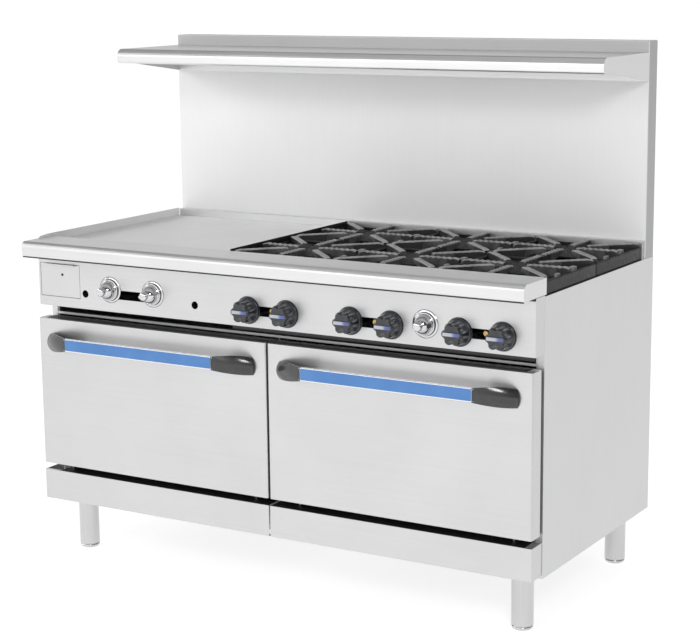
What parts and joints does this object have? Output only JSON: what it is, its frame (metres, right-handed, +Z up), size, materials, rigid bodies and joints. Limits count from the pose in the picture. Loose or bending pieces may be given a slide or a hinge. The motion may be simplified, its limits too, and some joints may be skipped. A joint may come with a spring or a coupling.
{
  "type": "commercial gas range",
  "caption": "Free-standing restaurant gas range on legs: griddle beside open burners with cast grates, ovens with drop-down doors, knob panel, back guard with overshelf.",
  "frame": {"origin": "on the floor under the middle of the overall box", "axes": "+Z up, -Y towards the cook in front of the doors, +Y towards the wall, +X to the cook's right"},
  "size_m": [1.524, 0.817, 1.442],
  "materials": {
    "stainless": "brushed stainless sheet",
    "black_enamel": "black enamel",
    "cast_iron": "matte black cast iron",
    "griddle_steel": "ground steel plate",
    "galvanised": "dull galvanised sheet",
    "black_plastic": "gloss black",
    "chrome": "polished",
    "blue_strip": "satin blue, plain",
    "brass": "dull brass and pipe",
    "rack_wire": "plated wire"
  },
  "bodies": {
    "range": {"side_panel_left": "stainless", "oven_liner_left": "black_enamel", "oven_rack_left": "rack_wire", "oven_burner_left": "cast_iron", "kick_panel_left": "stainless", "leg_left_front": "stainless", "leg_left_rear": "stainless", "side_panel_right": "stainless", "oven_liner_right": "black_enamel", "oven_rack_right": "rack_wire", "oven_burner_right": "cast_iron", "kick_panel_right": "stainless", "leg_right_front": "stainless", "leg_right_rear": "stainless", "open_burner_left": "cast_iron", "open_burner_middle": "cast_iron", "open_burner_right": "cast_iron", "back_panel": "galvanised", "base_frame": "galvanised", "front_frame": "stainless", "control_panel": "stainless", "landing_ledge": "stainless", "gas_manifold": "brass", "griddle_plate": "griddle_steel", "griddle_splash": "stainless", "griddle_burner": "cast_iron", "burner_box": "black_enamel", "rear_trim": "stainless", "backguard": "stainless", "overshelf": "stainless"},
    "door_left": {"door_shell_left": "stainless", "door_liner_left": "galvanised", "door_handle_left": "black_plastic", "handle_insert_left": "blue_strip"},
    "door_right": {"door_shell_right": "stainless", "door_liner_right": "galvanised", "door_handle_right": "black_plastic", "handle_insert_right": "blue_strip"},
    "burner_knob_1": {"burner_knob_1": "black_plastic"},
    "burner_knob_2": {"burner_knob_2": "black_plastic"},
    "burner_knob_3": {"burner_knob_3": "black_plastic"},
    "burner_knob_4": {"burner_knob_4": "black_plastic"},
    "burner_knob_5": {"burner_knob_5": "black_plastic"},
    "burner_knob_6": {"burner_knob_6": "black_plastic"},
    "griddle_knob_left": {"griddle_knob_left": "chrome"},
    "griddle_knob_right": {"griddle_knob_right": "chrome"},
    "thermostat_knob": {"thermostat_knob": "chrome"},
    "grease_drawer": {"grease_drawer": "stainless"},
    "crumb_tray": {"crumb_tray": "black_enamel"},
    "grate_left_front": {"grate_left_front": "cast_iron"},
    "grate_left_rear": {"grate_left_rear": "cast_iron"},
    "grate_middle_front": {"grate_middle_front": "cast_iron"},
    "grate_middle_rear": {"grate_middle_rear": "cast_iron"},
    "grate_right_front": {"grate_right_front": "cast_iron"},
    "grate_right_rear": {"grate_right_rear": "cast_iron"},
    "foot_left_front": {"foot_left_front": "stainless"},
    "foot_left_rear": {"foot_left_rear": "stainless"},
    "foot_right_front": {"foot_right_front": "stainless"},
    "foot_right_rear": {"foot_right_rear": "stainless"}
  },
  "joints": [
    {"name": "door_left_hinge", "type": "hinge", "parent": "range", "child": "door_left", "pos_m": [-0.381, -0.3245, 0.278], "axis": [1, 0, 0], "range_deg": [0, 88], "stiffness_Nm_per_rad": 8, "springref_deg": -11.46},
    {"name": "door_right_hinge", "type": "hinge", "parent": "range", "child": "door_right", "pos_m": [0.381, -0.3245, 0.278], "axis": [1, 0, 0], "range_deg": [0, 88], "stiffness_Nm_per_rad": 8, "springref_deg": -11.46},
    {"name": "burner_knob_1_turn", "type": "hinge", "parent": "range", "child": "burner_knob_1", "pos_m": [-0.0605, -0.3425, 0.765], "axis": [0, -1, 0], "range_deg": [0, 90]},
    {"name": "burner_knob_2_turn", "type": "hinge", "parent": "range", "child": "burner_knob_2", "pos_m": [0.0575, -0.3425, 0.765], "axis": [0, -1, 0], "range_deg": [0, 90]},
    {"name": "burner_knob_3_turn", "type": "hinge", "parent": "range", "child": "burner_knob_3", "pos_m": [0.2475, -0.3425, 0.765], "axis": [0, -1, 0], "range_deg": [0, 90]},
    {"name": "burner_knob_4_turn", "type": "hinge", "parent": "range", "child": "burner_knob_4", "pos_m": [0.3655, -0.3425, 0.765], "axis": [0, -1, 0], "range_deg": [0, 90]},
    {"name": "burner_knob_5_turn", "type": "hinge", "parent": "range", "child": "burner_knob_5", "pos_m": [0.5565, -0.3425, 0.765], "axis": [0, -1, 0], "range_deg": [0, 90]},
    {"name": "burner_knob_6_turn", "type": "hinge", "parent": "range", "child": "burner_knob_6", "pos_m": [0.6745, -0.3425, 0.765], "axis": [0, -1, 0], "range_deg": [0, 90]},
    {"name": "griddle_knob_left_turn", "type": "hinge", "parent": "range", "child": "griddle_knob_left", "pos_m": [-0.512, -0.3425, 0.7815], "axis": [0, -1, 0], "range_deg": [0, 90]},
    {"name": "griddle_knob_right_turn", "type": "hinge", "parent": "range", "child": "griddle_knob_right", "pos_m": [-0.3685, -0.3425, 0.7815], "axis": [0, -1, 0], "range_deg": [0, 90]},
    {"name": "thermostat_knob_turn", "type": "hinge", "parent": "range", "child": "thermostat_knob", "pos_m": [0.4635, -0.3425, 0.7765], "axis": [0, -1, 0], "range_deg": [0, 270]},
    {"name": "grease_drawer_slide", "type": "slide", "parent": "range", "child": "grease_drawer", "axis": [0, -1, 0], "range_m": [0, 0.25]},
    {"name": "crumb_tray_slide", "type": "slide", "parent": "range", "child": "crumb_tray", "axis": [0, -1, 0], "range_m": [0, 0.45]},
    {"name": "grate_left_front_lift", "type": "slide", "parent": "range", "child": "grate_left_front", "axis": [0, 0, 1], "range_m": [0, 0.1]},
    {"name": "grate_left_rear_lift", "type": "slide", "parent": "range", "child": "grate_left_rear", "axis": [0, 0, 1], "range_m": [0, 0.1]},
    {"name": "grate_middle_front_lift", "type": "slide", "parent": "range", "child": "grate_middle_front", "axis": [0, 0, 1], "range_m": [0, 0.1]},
    {"name": "grate_middle_rear_lift", "type": "slide", "parent": "range", "child": "grate_middle_rear", "axis": [0, 0, 1], "range_m": [0, 0.1]},
    {"name": "grate_right_front_lift", "type": "slide", "parent": "range", "child": "grate_right_front", "axis": [0, 0, 1], "range_m": [0, 0.1]},
    {"name": "grate_right_rear_lift", "type": "slide", "parent": "range", "child": "grate_right_rear", "axis": [0, 0, 1], "range_m": [0, 0.1]},
    {"name": "foot_left_front_adjust", "type": "slide", "parent": "range", "child": "foot_left_front", "axis": [0, 0, -1], "range_m": [0, 0.03]},
    {"name": "foot_left_rear_adjust", "type": "slide", "parent": "range", "child": "foot_left_rear", "axis": [0, 0, -1], "range_m": [0, 0.03]},
    {"name": "foot_right_front_adjust", "type": "slide", "parent": "range", "child": "foot_right_front", "axis": [0, 0, -1], "range_m": [0, 0.03]},
    {"name": "foot_right_rear_adjust", "type": "slide", "parent": "range", "child": "foot_right_rear", "axis": [0, 0, -1], "range_m": [0, 0.03]}
  ]
}
